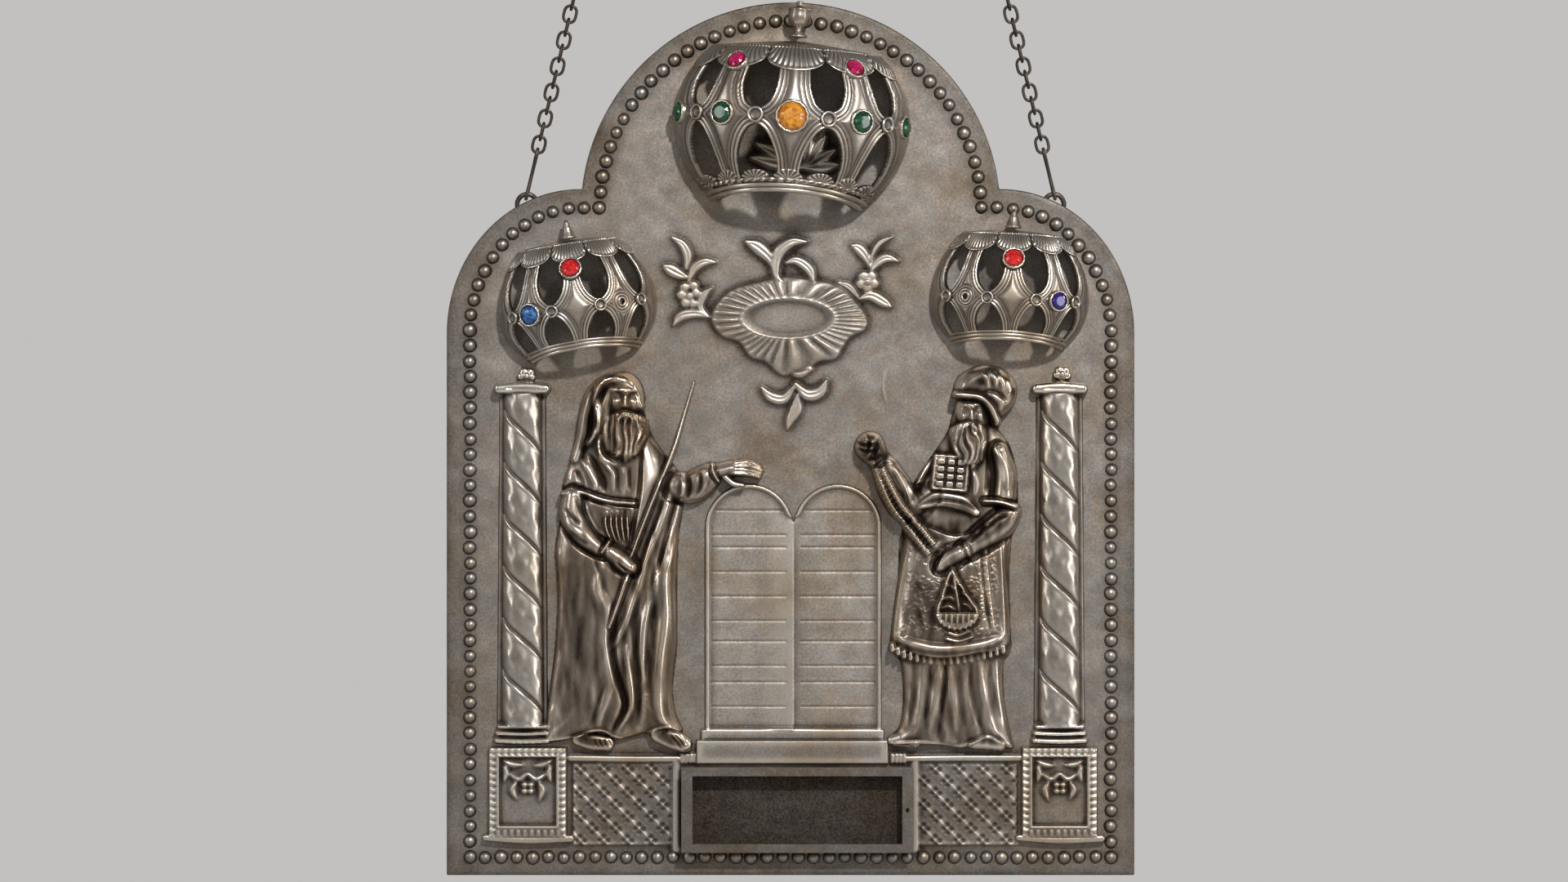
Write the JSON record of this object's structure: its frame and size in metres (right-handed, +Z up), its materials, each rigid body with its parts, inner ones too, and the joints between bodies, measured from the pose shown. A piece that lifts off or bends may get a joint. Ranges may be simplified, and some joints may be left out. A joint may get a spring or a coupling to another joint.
{
  "type": "torah shield breastplate",
  "caption": "Arched repousse silver torah shield with beaded border, relief figures, tablets, twisted columns, plaque box and pierced jewelled half crowns, hung on chains.",
  "frame": {"origin": "midway between the centres of the two rings that the shield hangs by", "axes": "+Z up along the hanging shield, +X to the viewer's right, the decorated front faces -Y"},
  "size_m": [0.2946, 0.0474, 0.3906],
  "materials": {
    "tarnished_silver": "tarnished silver sheet, brown in the hollows",
    "bright_silver": "rubbed silver with dark hollows",
    "figure_silver": "glossy brown-toned silver",
    "dark_chain": "dark oxidised wire",
    "orange_stone": "faceted",
    "green_stone": "faceted",
    "pink_stone": "faceted",
    "red_stone": "faceted",
    "blue_stone": "faceted",
    "purple_stone": "faceted"
  },
  "bodies": {
    "hanger": {"left_hang_ring": "dark_chain", "right_hang_ring": "dark_chain"},
    "chains": {"left_link_01": "dark_chain", "left_link_02": "dark_chain", "left_link_03": "dark_chain", "left_link_04": "dark_chain", "left_link_05": "dark_chain", "left_link_06": "dark_chain", "left_link_07": "dark_chain", "left_link_08": "dark_chain", "left_link_09": "dark_chain", "left_link_10": "dark_chain", "left_link_11": "dark_chain", "left_link_12": "dark_chain", "right_link_01": "dark_chain", "right_link_02": "dark_chain", "right_link_03": "dark_chain", "right_link_04": "dark_chain", "right_link_05": "dark_chain", "right_link_06": "dark_chain", "right_link_07": "dark_chain", "right_link_08": "dark_chain", "right_link_09": "dark_chain", "right_link_10": "dark_chain", "right_link_11": "dark_chain", "right_link_12": "dark_chain", "left_long_link": "dark_chain", "right_long_link": "dark_chain"},
    "shield": {"shield_plate": "tarnished_silver", "plaque_box": "tarnished_silver", "tablets": "bright_silver", "box_frame": "bright_silver", "left_column": "bright_silver", "right_column": "bright_silver", "left_pedestal": "bright_silver", "right_pedestal": "bright_silver", "cloaked_figure": "figure_silver", "apron_figure": "figure_silver", "left_loop": "dark_chain", "right_loop": "dark_chain", "centre_crown": "bright_silver", "centre_crown_cap": "bright_silver", "centre_finial": "bright_silver", "left_crown": "bright_silver", "left_crown_cap": "bright_silver", "left_finial": "bright_silver", "right_crown": "bright_silver", "right_crown_cap": "bright_silver", "right_finial": "bright_silver", "orange_stone": "orange_stone", "green_stone_left": "green_stone", "green_stone_right": "green_stone", "green_stone_far_left": "green_stone", "green_stone_far_right": "green_stone", "pink_stone_left": "pink_stone", "pink_stone_right": "pink_stone", "red_stone_left": "red_stone", "red_stone_right": "red_stone", "blue_stone": "blue_stone", "purple_stone": "purple_stone"}
  },
  "joints": [
    {"name": "ring_swing", "type": "hinge", "parent": "hanger", "child": "chains", "pos_m": [0, 0, -0.0066], "axis": [1, 0, 0], "range_deg": [-45, 45]},
    {"name": "shield_swing", "type": "hinge", "parent": "chains", "child": "shield", "pos_m": [0, 0, -0.09118], "axis": [1, 0, 0], "range_deg": [-45, 45]}
  ]
}
